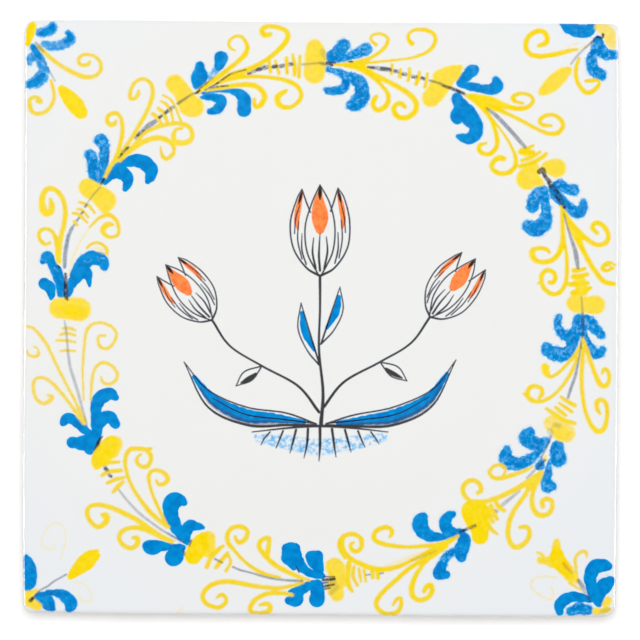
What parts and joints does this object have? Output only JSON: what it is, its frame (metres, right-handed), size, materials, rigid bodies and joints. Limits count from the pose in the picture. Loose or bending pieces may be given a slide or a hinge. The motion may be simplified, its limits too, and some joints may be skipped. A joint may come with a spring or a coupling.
{
  "type": "delft tile",
  "caption": "Square hand-cut wall tile of tin-glazed earthenware, painted with a leaf wreath on its face, with sides that lean in towards its back.",
  "frame": {"origin": "middle of the tile's back, on the surface it lies on", "axes": "+Z out of the glazed face, +Y towards the top of the painted picture, +X to its right"},
  "size_m": [0.1304, 0.1302, 0.007],
  "materials": {
    "tile": "glossy off-white tin glaze on the face and its rolled edge, bare fired clay on the sides and back"
  },
  "bodies": {
    "root": {"tile": "tile"}
  },
  "joints": []
}
